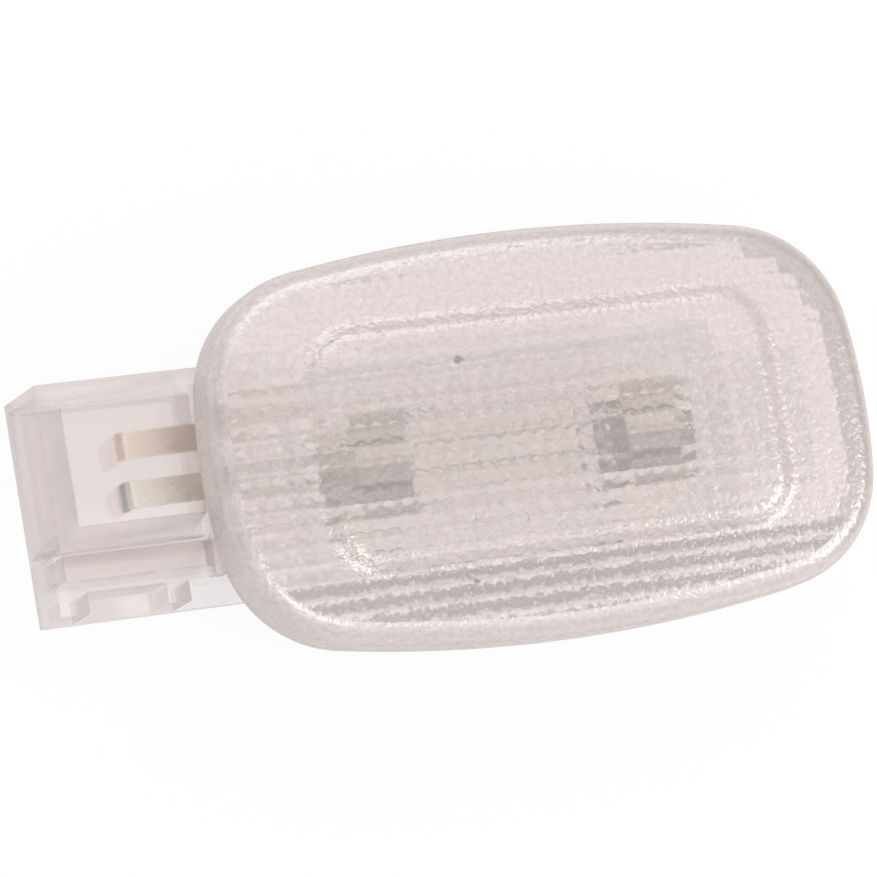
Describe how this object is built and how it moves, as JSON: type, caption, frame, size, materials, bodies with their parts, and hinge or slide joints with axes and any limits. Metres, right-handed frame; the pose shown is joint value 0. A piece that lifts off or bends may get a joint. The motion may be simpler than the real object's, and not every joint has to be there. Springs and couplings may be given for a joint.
{
  "type": "car interior lamp",
  "caption": "Snap-in car interior lamp: clear prismatic lens on a clear base with a plug socket at one end, brass contacts and a festoon bulb.",
  "frame": {"origin": "on the panel seat plane (underside of the lens rim), under the middle of the lens outline", "axes": "+X along the lamp, away from the plug socket; +Z out of the lens, away from the panel; +Y across"},
  "size_m": [0.0883, 0.0428, 0.0214],
  "materials": {
    "lens_plastic": "clear, fine grain outside",
    "base_plastic": "clear, polished",
    "contact_brass": "rolled, dull",
    "cap_brass": "plated, satin",
    "bulb_glass": "clear",
    "bulb_wire": "drawn",
    "filament_wire": "drawn"
  },
  "bodies": {
    "root": {"lens_cover": "lens_plastic", "base_housing": "base_plastic", "contact_short": "contact_brass", "contact_long": "contact_brass", "bulb_glass": "bulb_glass", "bulb_cap_left": "cap_brass", "bulb_cap_right": "cap_brass", "bulb_lead_left": "bulb_wire", "bulb_lead_right": "bulb_wire", "filament": "filament_wire"}
  },
  "joints": []
}
